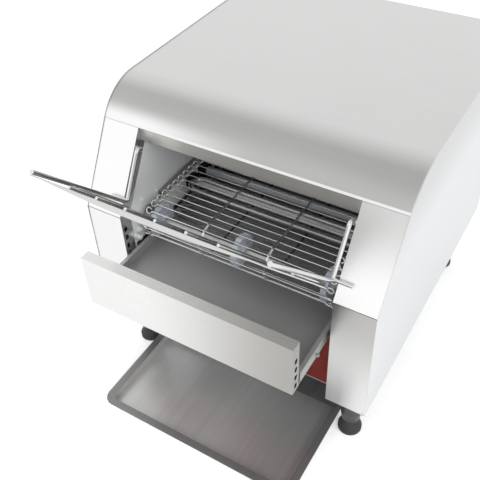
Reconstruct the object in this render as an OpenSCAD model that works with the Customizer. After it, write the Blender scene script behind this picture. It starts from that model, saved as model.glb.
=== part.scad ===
// Countertop conveyor toaster: a wire belt carries bread between upper and lower heaters,
// drops it behind the belt and slides it forward under the body onto a catch tray.
// +Z is up, +X is the operator's right, +Y points to the back of the machine.
// The origin is on the counter, midway between the rack's front edge and the cable gland's end.

/* [Casing] */
// Width over the side panels
body_w = 368; // [350:1:420]
// Depth from the front posts to the rear panel
body_d = 418; // [405:1:460]
// Height of the top above the counter
body_h = 381; // [370:1:410]
// Height of the casing's underside above the counter
leg_h = 92; // [84:1:100]
// Height of the lower edge of the sloped face
sill_h = 255; // [250:1:262]
// Angle of the sloped face above horizontal
face_angle = 59; // [55:1:62]
// Radius of the bend between the sloped face and the top
top_r = 70; // [50:1:80]
// Thickness of the casing's sheet steel
sheet = 1.2; // [0.8:0.1:2]
// How far the side panels' edges stand proud of the face
reveal = 0.8; // [0.4:0.1:1.6]
// Width of the loading opening between the posts
opening_w = 270; // [266:1:284]
// Depth of the folds behind the posts and the sloped faces
fold_d = 18; // [14:1:20]
// Height of the folded lip under the top edge of the opening
lip_h = 15; // [8:1:20]

/* [Vents and screws] */
// Height of each vent slot in a post's fold and in the drawer front
fold_slot_h = 7.5; // [6.5:0.5:9]
// Width of each vent slot in a fold
fold_slot_w = 5; // [3:0.1:6]
// Spacing of the vent slots in a fold
fold_slot_pitch = 12.7; // [11:0.1:14]
// Width of each vent slot in the rear panel
vent_w = 4; // [3:0.5:6]
// Height of each vent slot in the rear panel
vent_h = 34; // [20:1:40]
// Radius of a casing screw's head
screw_head_r = 4; // [3:0.1:5]
// Radius of a casing screw's shank
screw_r = 2; // [1.5:0.1:2.5]

/* [Belt] */
// Length of the straight strands across the belt
belt_w = 250; // [236:1:252]
// Diameter of the belt's wire
strand_d = 2; // [1.8:0.1:2.8]
// Spacing of the strands along the belt
strand_pitch = 11.1; // [10.8:0.1:11.4]
// Number of strand pitches in each straight run
run_pitches = 26; // [22:1:26]
// Distance of each joint row from the middle of the belt
joint_row_x = 42; // [30:1:60]
// Height of the belt's two shafts above the counter
shaft_z = 228.5; // [226:0.5:231]
// Distance of the front shaft behind the front posts
front_shaft_d = 47; // [46:0.5:50]
// Radius of both belt shafts
shaft_r = 5; // [4:0.5:6]
// Distance of the outer belt sprockets from the middle
outer_sprocket_x = 112; // [90:1:116]
// Width of a belt sprocket
sprocket_w = 7; // [5:0.5:10]
// Radial clearance of each shaft in its bearings
running_fit = 0.06; // [0.03:0.01:0.1]

/* [Drive] */
// Height of the gear motor's shaft above the counter
motor_z = 140; // [136:1:142]
// Pitch of the drive chain
chain_pitch = 9.525; // [9:0.005:9.6]
// Number of chain pitches between the two chain wheels
chain_pitches = 22; // [21:1:22]
// Radius of the chain's rollers
roller_r = 2.5; // [2:0.1:2.8]
// Diameter of the gear motor's can
motor_d = 48; // [36:1:52]
// Length of the gear motor's can
motor_l = 62; // [40:1:80]

/* [Heaters] */
// Diameter of each quartz heater tube
quartz_d = 10.5; // [8:0.5:12]
// Height of the upper quartz tubes above the counter
upper_heater_z = 312; // [306:1:318]
// Distance of the first upper tube behind the front posts
upper_heater_d = 112; // [104:1:120]
// Spacing of the upper tubes
upper_heater_pitch = 76; // [60:1:90]
// Distance of the first lower tube behind the front posts
lower_tube_d = 139; // [130:1:140]
// Spacing of the lower tubes
lower_tube_pitch = 28; // [22:1:32]
// Diameter of the lower sheathed elements
element_d = 6.6; // [5:0.2:7]
// Distance between the two legs of a lower element
element_gap = 24; // [18:1:26]

/* [Loading rack] */
// Diameter of the rack's side wires
rack_wire_d = 5; // [4:0.1:6]
// Half width of the rack sheet at its inner edge
rack_inner_w = 129; // [120:1:130]
// Half width of the rack sheet at its outer edge
rack_outer_w = 125; // [110:1:126]
// How far the rack reaches in front of the posts
rack_reach = 110; // [90:1:130]
// Height of the rack's outer edge above the counter
rack_top_z = 395.5; // [385:0.5:405]
// Length of the wire ends that rest on the sloped faces
rack_rest_l = 21; // [16:1:30]

/* [Crumb drawer] */
// How far the drawer stands pulled out
drawer_out = 74; // [60:1:120]
// Height of the drawer's front
drawer_front_h = 70; // [64:1:70]
// Height of the drawer's side walls
drawer_wall_h = 15; // [8:1:16]
// Width of the flange along the top of the drawer's side walls
drawer_flange_w = 4.5; // [3:0.5:8]
// Depth of the hollow drawer front
drawer_fold = 13; // [10:1:16]
// Gap between the drawer's front and its side walls
drawer_gap = 4.5; // [3:0.5:8]
// Length of the drawer's tray
drawer_l = 350; // [300:1:352]

/* [Chute and catch tray] */
// Angle of the discharge chute
chute_angle = 25; // [22:0.5:26]
// Height of the chute's lower edge above the counter
chute_end_z = 15; // [14.5:0.5:18]
// Distance of the chute's lower edge behind the front posts
chute_end_d = 44; // [36:1:50]
// Height of the catch tray
tray_h = 13; // [8:0.5:13.5]
// Width of the catch tray over its rim
tray_w = 275; // [264:1:284]
// Width of the catch tray's rim
tray_rim_w = 9.5; // [5:0.5:12]
// How far the catch tray reaches in front of the posts
tray_reach = 92; // [60:1:108]
// Length of the catch tray
tray_l = 224; // [190:1:250]

/* [Legs] */
// Gap between the catch tray and the feet beside it
tray_gap = 2.5; // [1:0.5:6]
// Distance of the front legs behind the front posts
leg_front_d = 39; // [34:1:60]
// Distance of the rear legs in front of the rear panel
leg_rear_d = 38; // [34:1:60]
// Radius of the round foot
foot_r = 15; // [12:0.5:16]
// How far each foot can be screwed out
foot_travel = 20; // [10:1:22]

/* [Controls] */
// Diameter of the speed knob
knob_d = 38; // [28:1:44]
// Depth of the speed knob
knob_l = 17; // [12:1:24]
// Sideways place of the speed knob
knob_x = -60; // [-80:1:-50]
// Width of a rocker switch
rocker_w = 22; // [18:1:26]
// Height of a rocker switch
rocker_h = 30; // [26:1:32]
// Height of the controls' centre line above the counter
control_z = 141; // [136:1:144]

/* [Hidden] */
$fn = 96;

// Casing
half_w = body_w / 2;
inner_half_w = half_w - sheet;
post_x = opening_w / 2;
wall_x = post_x;
face_sin = sin(face_angle);
face_cos = cos(face_angle);
face_tan = tan(face_angle);
bend_z = body_h - top_r;
face_top_z = body_h - top_r * (1 - face_cos);
face_top_d = (face_top_z - sill_h) / face_tan;
face_l = (face_top_z - sill_h) / face_sin;
bend_d = face_top_d + top_r * face_sin;
base_top_z = leg_h + sheet;
seam = 0.3;
rear_in_d = body_d - sheet;
flange_w = 4;
cover_lap = 14;
side_space_x = (wall_x + sheet + inner_half_w) / 2;

// Lip under the hood
lip_d = face_top_d + 2 * sheet;
lip_top_z = face_top_z - seam - 2;
lip_z = lip_top_z - lip_h;
lip_flange_w = 22;

// Vent slots in the folds: depth of their centre line and first place below the sill
fold_slot_d = 6.5;
fold_slot_drop = 21;

// Belt: twelve teeth, so that the belt's strands lie on the corners of a twelve-sided figure
belt_teeth = 12;
tooth_angle = 360 / belt_teeth;
belt_r = strand_pitch / (2 * sin(tooth_angle / 2));
run_l = run_pitches * strand_pitch;
rear_shaft_d = front_shaft_d + run_l;
strand_count = 2 * run_pitches + belt_teeth;
strand_r = strand_d / 2;
link_r = strand_r * 0.85;
belt_notch_r = 2.5;
tooth_gap = 0.35;
belt_half_w = belt_w / 2;
belt_top_z = shaft_z + belt_r;
belt_bottom_z = shaft_z - belt_r;

// Drive
chain_r = chain_pitch / (2 * sin(tooth_angle / 2));
chain_c = chain_pitches * chain_pitch;
chain_angle = asin((shaft_z - motor_z) / chain_c);
motor_d_pos = rear_shaft_d - chain_c * cos(chain_angle);
chain_count = 2 * chain_pitches + belt_teeth;
chain_x = wall_x + sheet + 12;
wheel_w = 4;
chain_notch_r = 2.2;

// Bay, chute and drawer
drawer_z = 187;
drawer_half_w = post_x - 5.5;
bay_top_z = drawer_z - 3.6;
bay_d = 118;
chute_tan = tan(chute_angle);
chute_r = 50;
chute_back_d = rear_in_d - 4.8;
chute_half_w = post_x - 5;
chute_rib_pitch = 24;
chute_flats = 12;
chute_turn_d = chute_back_d - chute_r;
chute_foot_d = chute_turn_d + chute_r * sin(chute_angle);
chute_foot_z = chute_end_z + (chute_foot_d - chute_end_d) * chute_tan;
chute_turn_z = chute_foot_z + chute_r * cos(chute_angle);
chute_slope_l = (chute_foot_d - chute_end_d) / cos(chute_angle);
chute_top_z = chute_turn_z + 64;

// Lower heaters
lower_quartz_z = shaft_z - 9;
lower_quartz_d = [lower_tube_d, lower_tube_d + lower_tube_pitch];
element_front_d = [lower_tube_d - 27, lower_tube_d + 61];
element_z = shaft_z + 1.5;
// The blocks under the elements stop short of them; the terminals clear the tubes' caps
rest_z = element_z - element_d / 2 - 0.3;
cap_top = quartz_d / 2 + 0.75;
terminal_z = lower_quartz_z + cap_top + 0.3;
element_wall_gap = 16;
element_tail = 20;
rail_w = 11;
rail_inset = 26;

// Rack
rack_inner_d = 6;
rack_inner_z = sill_h + 12;
rack_slope = atan2(rack_top_z - rack_inner_z, rack_reach + rack_inner_d);
rack_wire_r = rack_wire_d / 2;
rack_lip_h = 5;
rack_lip_back = 0.4;
front_reach = rack_reach + rack_lip_h * sin(rack_slope) + (sheet - rack_lip_back) * cos(rack_slope);
gland_l = 16;
mid_d = (body_d + gland_l - front_reach) / 2;
hook_depth = 9;
hook_s = face_l - 23.4;
hook_d = hook_s * face_cos + hook_depth * face_sin;
hook_z = sill_h + hook_s * face_sin - hook_depth * face_cos;
hook_fit = 0.08;
rack_hook_drop = 6;
rack_bend = 4;
rack_stub_share = 0.85;
rest_gap = 0.3;
rack_rib_r = 1.5;
rack_rib_pitch = 32.4;
rack_rest_d = 11;
rack_rest_z = sill_h + rack_rest_d * face_tan
  + (rack_wire_r * rack_stub_share - reveal + rest_gap) / face_cos;

// Control panel, just behind the posts' folds
panel_d = fold_d + 2;

// Fan
fan_x = -70;
fan_size = 80;
fan_h = 25;
panel_foot_w = 12;
fan_d = panel_d + panel_foot_w + fan_size / 2 + 2;

// Terminal block and circuit board
way_pitch = 12;
block_d = 20;
block_h = 18;
board_w = 20;
board_l = 60;

// Catch tray and legs
tray_corner = 15;
leg_x = tray_w / 2 + tray_gap + foot_r;

// Colours
steel = [0.82, 0.82, 0.8];
dark_steel = [0.5, 0.5, 0.5];
black = [0.1, 0.1, 0.1];

// ---------- helpers ----------

// Moves geometry measured from the front posts into the part's frame
module from_front() {
  translate([0, -mid_d, 0]) children();
}

// Turns a flat shape drawn in (depth, height) so that it stands across the machine
module across(x, w) {
  translate([x, 0, 0]) rotate([90, 0, 90]) linear_extrude(w) children();
}

// A round bar or bore across the machine
module cross_bar(x, d, z, r, w) {
  translate([x, d, z]) rotate([0, 90, 0]) cylinder(r = r, h = w);
}

// A box given by its lowest and highest corners
module box(lo, hi) {
  translate(lo) cube(hi - lo);
}

// Casing profile, set in from the outside by i
module casing_profile(i, back) {
  z_knee = sill_h + i * (face_sin - 1) / face_cos;
  polygon([[i, base_top_z], [i, z_knee],
    [bend_d - (top_r - i) * face_sin, bend_z + (top_r - i) * face_cos],
    [bend_d, bend_z], [bend_d, body_h - i], [back, body_h - i], [back, base_top_z]]);
}

// The same profile as a solid slab with its true bend
module casing_slab(i, back, x, w) {
  union() {
    across(x, w) casing_profile(i, back);
    cross_bar(x, bend_d, bend_z, top_r - i, w);
  }
}

// A straight wire with round ends between two points
module wire(a, b, r) {
  v = b - a;
  translate(a) rotate([0, acos(v[2] / norm(v)), atan2(v[1], v[0])]) cylinder(r = r, h = norm(v));
}

function unit(v) = v / norm(v);

// Direction of a path's stretch i, and how far it turns at point i
function heading(p, i) = unit(p[i + 1] - p[i]);
function turn_at(p, i) = acos(heading(p, i - 1) * heading(p, i));

// Length that a bend of radius b takes from the stretches beside point i
function bend_cut(p, i, b) = i == 0 || i == len(p) - 1 ? 0 : b * tan(turn_at(p, i) / 2);

// The straight stretches run this far into the bends, which are a little thicker than the wire
bend_lap = 0.3;
bend_swell = 1.03;

// A wire through a list of points, bent to radius b at each inner point
module bent_wire(p, r, b) {
  union() {
    for (i = [0:len(p) - 2])
      wire(p[i] + max(0, bend_cut(p, i, b) - bend_lap) * heading(p, i),
        p[i + 1] - max(0, bend_cut(p, i + 1, b) - bend_lap) * heading(p, i), r);
    for (i = [1:1:len(p) - 2]) wire_elbow(p, i, r, b);
  }
}

// The bend at point i: its frame has X from the bend's centre to its start and Y along the wire
module wire_elbow(p, i, r, b) {
  u = heading(p, i - 1);
  v = heading(p, i);
  inward = unit(v - (u * v) * u);
  x = -inward;
  z = cross(x, u);
  translate(p[i] - bend_cut(p, i, b) * u + b * inward)
    rotate([atan2(u[2], z[2]), -asin(x[2]), atan2(x[1], x[0])])
      rotate_extrude(angle = turn_at(p, i)) translate([b, 0]) circle(r = r * bend_swell);
}

// A slot with round ends, cut across the machine
module cross_slot(x, d, z, w, h, r) {
  for (s = [-1, 1]) cross_bar(x, d, z + s * (h / 2 - r), r, w);
  translate([x, d - r, z - h / 2 + r]) cube([w, 2 * r, h - 2 * r]);
}

// Four vent slots in a fold, counted down from the sill
module fold_slots(x, d) {
  for (k = [0:3])
    cross_slot(x, d, sill_h - fold_slot_drop - k * fold_slot_pitch, 3 * sheet, fold_slot_h,
      fold_slot_w / 2);
}

// Place of strand i around the belt, as [depth, height]
function strand_at(i) =
  i <= run_pitches ? [front_shaft_d + i * strand_pitch, belt_top_z] :
  i < run_pitches + belt_teeth / 2 ?
    let (a = 90 - (i - run_pitches) * tooth_angle)
    [rear_shaft_d + belt_r * cos(a), shaft_z + belt_r * sin(a)] :
  i <= 2 * run_pitches + belt_teeth / 2 ?
    [rear_shaft_d - (i - run_pitches - belt_teeth / 2) * strand_pitch, belt_bottom_z] :
    let (a = -90 - (i - 2 * run_pitches - belt_teeth / 2) * tooth_angle)
    [front_shaft_d + belt_r * cos(a), shaft_z + belt_r * sin(a)];

// Place of chain joint i around the two chain wheels, in the chain's own level frame
function chain_at(i) =
  i <= chain_pitches ? [i * chain_pitch, chain_r] :
  i < chain_pitches + belt_teeth / 2 ?
    let (a = 90 - (i - chain_pitches) * tooth_angle)
    [chain_c + chain_r * cos(a), chain_r * sin(a)] :
  i <= 2 * chain_pitches + belt_teeth / 2 ?
    [chain_c - (i - chain_pitches - belt_teeth / 2) * chain_pitch, -chain_r] :
    let (a = -90 - (i - 2 * chain_pitches - belt_teeth / 2) * tooth_angle)
    [chain_r * cos(a), chain_r * sin(a)];

// A toothed wheel across the machine, notched opposite bars of radius bar_r that lie on pitch_r;
// its teeth stop short of the bars
module toothed_wheel(x, w, pitch_r, bar_r, notch_r, bore_r, phase) {
  tip_r = pitch_r - bar_r - tooth_gap;
  difference() {
    cross_bar(x, 0, 0, tip_r, w);
    for (k = [0:belt_teeth - 1]) rotate([phase + k * tooth_angle, 0, 0])
      cross_bar(x - 1, 0, tip_r, notch_r, w + 2);
    cross_bar(x - 1, 0, 0, bore_r, w + 2);
  }
}

// ---------- casing ----------

module side_panel(side) {
  x = side > 0 ? inner_half_w : -half_w;
  color(steel) from_front() union() {
    casing_slab(0, body_d, x, sheet);
    box([min(x, side * (inner_half_w - flange_w)), 0, leg_h],
      [max(x + sheet, side * (inner_half_w - flange_w)), body_d, base_top_z]);
  }
}

module left_side_panel() side_panel(-1);
module right_side_panel() side_panel(1);

module top_cover() {
  w = 2 * inner_half_w - seam;
  color(steel) from_front() union() {
    difference() {
      cross_bar(-w / 2, bend_d, bend_z, top_r - reveal, w);
      cross_bar(-w / 2 - 1, bend_d, bend_z, top_r - reveal - sheet, w + 2);
      // keep only the stretch between the sloped face and the flat top
      across(-w / 2 - 1, w + 2) polygon([[bend_d, bend_z], [bend_d - 2 * top_r * face_sin,
        bend_z + 2 * top_r * face_cos], [bend_d - 2 * top_r, bend_z - 2 * top_r],
        [bend_d + 2 * top_r, bend_z - 2 * top_r], [bend_d + 2 * top_r, bend_z + 2 * top_r],
        [bend_d, bend_z + 2 * top_r]]);
    }
    box([-w / 2, bend_d, body_h - reveal - sheet], [w / 2, body_d, body_h - reveal]);
    box([-w / 2, rear_in_d, body_h - reveal - cover_lap], [w / 2, body_d, body_h - reveal]);
  }
}

module rear_panel() {
  w = 2 * inner_half_w - seam;
  top_z = body_h - reveal - cover_lap - seam;
  color(steel) from_front() difference() {
    box([-w / 2, rear_in_d, base_top_z], [w / 2, body_d, top_z]);
    for (row = [0, 1], k = [-7:7]) translate([k * vent_pitch - vent_w / 2, rear_in_d - 1,
      top_z - 18 - vent_h - row * (vent_h + vent_pitch)]) cube([vent_w, sheet + 2, vent_h]);
    translate([gland_x, rear_in_d - 1, gland_z]) rotate([-90, 0, 0])
      cylinder(r = gland_thread_r, h = sheet + 2);
    rear_screw_places() translate([0, 0, -sheet - 2]) cylinder(r = screw_r + 0.15, h = sheet + 4);
  }
}

vent_pitch = 14;
gland_x = side_space_x;
gland_z = leg_h + 32;
gland_thread_r = 8;
gland_bore_r = 5;
rear_screw_x = inner_half_w - 7;
rear_screw_z = [base_top_z + 12, (base_top_z + body_h) / 2, body_h - 30];

// Frames on the rear panel's outer face, pointing backwards
module rear_screw_places() {
  for (s = [-1, 1], z = rear_screw_z)
    translate([s * rear_screw_x, body_d, z]) rotate([-90, 0, 0]) children();
}

module base_pan() {
  w = 2 * (inner_half_w - flange_w) - seam;
  exit_w = chute_half_w + 1.5;
  color(steel) from_front() difference() {
    box([-w / 2, reveal, leg_h], [w / 2, body_d, base_top_z]);
    // cut back to the control panel between the posts
    box([-post_x, -1, leg_h - 1], [post_x, panel_d, base_top_z + 1]);
    // toast leaves through here, along the chute
    box([-exit_w, bay_d, leg_h - 1], [exit_w, chute_floor_d, base_top_z + 1]);
    translate([fan_x, fan_d, leg_h - 1]) cylinder(r = fan_size / 2 - 4, h = sheet + 2);
    for (s = [-1, 1], d = [leg_front_d, body_d - leg_rear_d])
      translate([s * leg_x, d, leg_h - 1]) cylinder(r = leg_bolt_r + 0.2, h = sheet + 2);
  }
}

// Where the chute comes down through the base pan
chute_floor_d = chute_end_d + (base_top_z + 14 - chute_end_z) / chute_tan;
leg_bolt_r = 4;

// One sloped face beside the opening, with the fold that runs along the opening
module fascia(side) {
  w = inner_half_w - seam - post_x;
  color(steel) from_front() difference() {
    // drawn on the slope: X across, Y up the slope, Z out of the face
    translate([0, 0, sill_h]) rotate([face_angle, 0, 0]) union() {
      box([min(side * post_x, side * (post_x + w)), seam, -reveal - sheet],
        [max(side * post_x, side * (post_x + w)), face_l - seam, -reveal]);
      box([min(side * post_x, side * (post_x + sheet)), seam, -fold_d],
        [max(side * post_x, side * (post_x + sheet)), face_l - seam, -reveal]);
    }
    box([-half_w, -50, sill_h - 50], [half_w, 300, sill_h + seam]);
    cross_bar(side > 0 ? post_x - 1 : -post_x - 2 * sheet, hook_d, hook_z, rack_wire_r + hook_fit,
      2 * sheet + 1);
  }
}

module left_fascia() fascia(-1);
module right_fascia() fascia(1);

module hood_lip() {
  w = 2 * post_x - seam;
  color(steel) from_front() union() {
    box([-w / 2, lip_d, lip_z], [w / 2, lip_d + sheet, lip_top_z]);
    box([-w / 2, lip_d, lip_z], [w / 2, lip_d + lip_flange_w, lip_z + sheet]);
  }
}

// One front post below the sloped face, with its slotted fold
module post(side) {
  color(steel) from_front() difference() {
    union() {
      box([min(side * post_x, side * (inner_half_w - seam)), reveal, base_top_z],
        [max(side * post_x, side * (inner_half_w - seam)), reveal + sheet, sill_h - seam]);
      box([min(side * post_x, side * (post_x + sheet)), reveal, base_top_z],
        [max(side * post_x, side * (post_x + sheet)), fold_d, sill_h - seam]);
    }
    fold_slots(side > 0 ? post_x - sheet : -post_x - 2 * sheet, fold_slot_d);
  }
}

module left_post() post(-1);
module right_post() post(1);

// ---------- control panel ----------

rocker_x = [22, 66];
lamp_x = 98;
lamp_r = 6;
pot_r = 4.6;

module panel_openings(grow) {
  translate([knob_x, panel_d - 5, control_z]) rotate([-90, 0, 0]) cylinder(r = pot_r + grow, h = 20);
  for (x = rocker_x)
    box([x - rocker_w / 2 - grow, panel_d - 5, control_z - rocker_h / 2 - grow],
      [x + rocker_w / 2 + grow, panel_d + 15, control_z + rocker_h / 2 + grow]);
  translate([lamp_x, panel_d - 5, control_z]) rotate([-90, 0, 0]) cylinder(r = lamp_r + grow, h = 20);
}

module control_panel() {
  color([0.62, 0.13, 0.1]) from_front() difference() {
    union() {
      box([-post_x, panel_d, base_top_z], [post_x, panel_d + sheet, bay_top_z - sheet]);
      box([-post_x, panel_d, base_top_z], [post_x, panel_d + panel_foot_w, base_top_z + sheet]);
    }
    panel_openings(0);
  }
}

// ---------- inner structure ----------

// Holes that both inner walls share
module wall_holes() {
  for (d = [front_shaft_d, rear_shaft_d]) cross_bar(-half_w, d, shaft_z, bearing_r, body_w);
  for (k = [0:2])
    cross_bar(-half_w, upper_heater_d + k * upper_heater_pitch, upper_heater_z, quartz_d / 2 + 0.4,
      body_w);
  for (d = lower_quartz_d) cross_bar(-half_w, d, lower_quartz_z, quartz_d / 2 + 0.4, body_w);
}

bearing_r = 9;

// One wall of the toasting chamber
module inner_wall(side) {
  x = side > 0 ? wall_x : -wall_x - sheet;
  color(steel) from_front() difference() {
    casing_slab(fold_d + seam, body_d - 22, x, sheet);
    wall_holes();
  }
}

// The left wall also carries a stop pin, a stud with its nut and two small studs
module left_inner_wall() {
  union() {
    inner_wall(-1);
    color(steel) from_front() translate([-wall_x - sheet / 2, 0, 0]) {
      cross_bar(0, fold_d + 4, wall_pin_z, 3, sheet / 2 + 8);
      cross_bar(0, fold_d + 10, wall_pin_z + 7, 2, sheet / 2 + 6);
      cross_bar(0, fold_d + 10, wall_pin_z + 7, 3.6, sheet / 2 + 3, $fn = 6);
      for (p = [[front_shaft_d + 23, belt_top_z - 0.9], [front_shaft_d - 4, belt_top_z + 4.1]])
        cross_bar(0, p[0], p[1], 1.8, sheet / 2 + 2.5);
    }
  }
}

wall_pin_z = drawer_z + 25;

module right_inner_wall() {
  difference() {
    inner_wall(1);
    from_front() cross_bar(wall_x - 1, motor_d_pos, motor_z, 9, sheet + 2);
    from_front() for (d = element_front_d, k = [0, 1])
      cross_bar(wall_x - 1, d + k * element_gap, element_z, element_d / 2 + 0.4, sheet + 2);
  }
}

// Reflector over the upper tubes; its front plate also meets the flange of the hood's lip
module upper_reflector() {
  z = upper_heater_z + 26;
  front_d = lip_d + lip_flange_w + 1.6;
  back_d = body_d - 24;
  color(steel) from_front() union() {
    box([-wall_x, front_d, z], [wall_x, back_d, z + sheet]);
    box([-wall_x, front_d, min(upper_heater_z + 4, lip_z)],
      [wall_x, front_d + sheet, max(z, lip_z) + sheet]);
    box([-wall_x, back_d - sheet, upper_heater_z - 6], [wall_x, back_d, z + sheet]);
  }
}

// ---------- heaters ----------

tube_half_l = wall_x + 14;
cap_l = 16;

module upper_quartz_tubes() {
  color([0.85, 0.83, 0.8]) from_front() for (k = [0:2])
    cross_bar(-tube_half_l, upper_heater_d + k * upper_heater_pitch, upper_heater_z, quartz_d / 2,
      2 * tube_half_l);
}

module lower_quartz_tubes() {
  color([0.85, 0.83, 0.8]) from_front() for (d = lower_quartz_d)
    cross_bar(-tube_half_l, d, lower_quartz_z, quartz_d / 2, 2 * tube_half_l);
}

// Ceramic caps that hold the ends of the quartz tubes against the walls
module heater_end_caps() {
  x = wall_x + sheet;
  places = concat([for (k = [0:2]) [upper_heater_d + k * upper_heater_pitch, upper_heater_z]],
    [for (d = lower_quartz_d) [d, lower_quartz_z]]);
  color([0.93, 0.92, 0.88]) from_front() for (p = places, s = [-1, 1]) difference() {
    box([s > 0 ? x : -x - cap_l, p[0] - 10, p[1] - 8],
      [s > 0 ? x + cap_l : -x, p[0] + 10, p[1] + cap_top]);
    cross_bar(-tube_half_l, p[0], p[1], quartz_d / 2, 2 * tube_half_l);
  }
}

// Hairpin elements: two legs and a half-round bend at the left
module lower_elements() {
  r = element_gap / 2;
  turn_x = -wall_x + element_wall_gap + r;
  end_x = wall_x + element_tail;
  color([0.6, 0.58, 0.55]) from_front() for (d = element_front_d) union() {
    for (k = [0, 1]) cross_bar(turn_x, d + k * element_gap, element_z, element_d / 2, end_x - turn_x);
    translate([turn_x, d + r, element_z]) difference() {
      rotate_extrude() translate([r, 0]) circle(r = element_d / 2);
      translate([0, -2 * r, -element_d]) cube([3 * r, 4 * r, 2 * element_d]);
    }
  }
}

// Dark blocks inside the walls: two pairs carry the lower tubes, one block supports the bend of
// the second element
module heater_blocks() {
  block_w = 11;
  z = lower_quartz_z - 8.5;
  color([0.25, 0.24, 0.23]) from_front() {
    for (s = [-1, 1], d = lower_quartz_d) difference() {
      box([s > 0 ? wall_x - block_w : -wall_x, d - 8.5, z],
        [s > 0 ? wall_x : -wall_x + block_w, d + 8.5, rest_z]);
      cross_bar(-wall_x - 1, d, lower_quartz_z, quartz_d / 2, body_w);
    }
    box([-wall_x, element_front_d[1] + 2, z], [-wall_x + 15, element_front_d[1] + element_gap - 2, rest_z]);
  }
}

module element_terminals() {
  x = wall_x + sheet;
  l = 12;
  color([0.93, 0.92, 0.88]) from_front() for (d = element_front_d) difference() {
    box([x, d - 8, terminal_z], [x + l, d + element_gap + 8, element_z + 10]);
    for (k = [0, 1]) cross_bar(x - 1, d + k * element_gap, element_z, element_d / 2, l + 2);
  }
}

// ---------- belt and shafts ----------

// Ledges along both walls that carry the edges of the belt's upper run
module belt_rails() {
  z = belt_top_z - 4.2;
  color(steel) from_front() for (s = [-1, 1]) union() {
    box([s > 0 ? wall_x - rail_w : -wall_x, front_shaft_d + rail_inset, z - sheet],
      [s > 0 ? wall_x : -wall_x + rail_w, rear_shaft_d - rail_inset, z]);
    box([s > 0 ? wall_x - sheet : -wall_x, front_shaft_d + rail_inset, z - rail_w - 1],
      [s > 0 ? wall_x : -wall_x + sheet, rear_shaft_d - rail_inset, z]);
  }
}

// One strand: the straight wire and the hooks that reach for the next strand
module belt_strand(i) {
  p = strand_at(i);
  q = strand_at((i + 1) % strand_count);
  u = (q - p) / norm(q - p);
  reach = strand_pitch - strand_r - 0.35;
  union() {
    cross_bar(-belt_half_w, p[0], p[1], strand_r, belt_w);
    for (x = [-belt_half_w + 3, -joint_row_x, joint_row_x, belt_half_w - 3])
      wire([x, p[0], p[1]], [x, p[0] + reach * u[0], p[1] + reach * u[1]], link_r);
  }
}

module belt() {
  color([0.7, 0.7, 0.68]) from_front() for (i = [0:strand_count - 1]) belt_strand(i);
}

module front_shaft() {
  color(dark_steel) from_front() cross_bar(-wall_x - 14, front_shaft_d, shaft_z, shaft_r,
    2 * wall_x + 28);
}

module rear_shaft() {
  color(dark_steel) from_front() cross_bar(-wall_x - 14, rear_shaft_d, shaft_z, shaft_r,
    2 * wall_x + 14 + sheet + 22);
}

// Belt sprockets: three toothed rims, each on a hub
module belt_sprockets(d) {
  hub_l = sprocket_w + 8;
  color([0.66, 0.69, 0.74]) from_front() translate([0, d, shaft_z])
    for (x = [-outer_sprocket_x, 0, outer_sprocket_x]) union() {
      toothed_wheel(x - sprocket_w / 2, sprocket_w, belt_r, strand_r, belt_notch_r, shaft_r, 0);
      difference() {
        cross_bar(x - hub_l / 2, 0, 0, shaft_r + 4, hub_l);
        cross_bar(x - hub_l / 2 - 1, 0, 0, shaft_r, hub_l + 2);
      }
    }
}

module front_sprockets() belt_sprockets(front_shaft_d);
module rear_sprockets() belt_sprockets(rear_shaft_d);

// Flanged bushes in the walls
module shaft_bearings() {
  color([0.72, 0.6, 0.35]) from_front()
    for (d = [front_shaft_d, rear_shaft_d], s = [-1, 1]) difference() {
      union() {
        cross_bar(s > 0 ? wall_x - 3 : -wall_x - sheet - 4, d, shaft_z, bearing_r - 0.1, sheet + 7);
        cross_bar(s > 0 ? wall_x - 3 : -wall_x, d, shaft_z, bearing_r + 4, 3);
      }
      cross_bar(-half_w, d, shaft_z, shaft_r + running_fit, body_w);
    }
}

// ---------- drive ----------

module chain_wheel() {
  color(dark_steel) from_front() translate([0, rear_shaft_d, shaft_z]) union() {
    toothed_wheel(chain_x - wheel_w / 2, wheel_w, chain_r, roller_r, chain_notch_r, shaft_r, chain_angle);
    difference() {
      cross_bar(chain_x - wheel_w / 2 - 4, 0, 0, shaft_r + 4, wheel_w + 6);
      cross_bar(chain_x - 10, 0, 0, shaft_r, 20);
    }
  }
}

module motor_wheel() {
  color(dark_steel) from_front() translate([0, motor_d_pos, motor_z]) union() {
    toothed_wheel(chain_x - wheel_w / 2, wheel_w, chain_r, roller_r, chain_notch_r, motor_shaft_r,
      chain_angle);
    difference() {
      cross_bar(chain_x - wheel_w / 2 - 2, 0, 0, motor_shaft_r + 4, wheel_w + 5);
      cross_bar(chain_x - 10, 0, 0, motor_shaft_r, 20);
    }
  }
}

motor_shaft_r = 4;

// One chain link: a roller and two waisted plates
module chain_link(i) {
  p = chain_at(i);
  q = chain_at((i + 1) % chain_count);
  v = q - p;
  off = wheel_w / 2 + 0.5 + (i % 2) * 1.1;
  reach = 3.2;
  translate([0, p[0], p[1]]) rotate([atan2(v[1], v[0]), 0, 0]) {
    cross_bar(chain_x - wheel_w / 2 - 2.6, 0, 0, roller_r * 0.6, wheel_w + 5.2);
    cross_bar(chain_x - wheel_w / 2 - 0.5, 0, 0, roller_r, wheel_w + 1);
    for (s = [-1, 1])
      across(chain_x + s * (off + 0.5) - 0.5, 1)
        polygon([[-reach, -1.6], [-1.6, -reach], [1.6, -reach], [norm(v) / 2, -2],
          [norm(v) - 1.6, -reach], [norm(v) + 1.6, -reach], [norm(v) + reach, -1.6],
          [norm(v) + reach, 1.6], [norm(v) + 1.6, reach], [norm(v) - 1.6, reach],
          [norm(v) / 2, 2], [1.6, reach], [-1.6, reach], [-reach, 1.6]]);
  }
}

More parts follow.
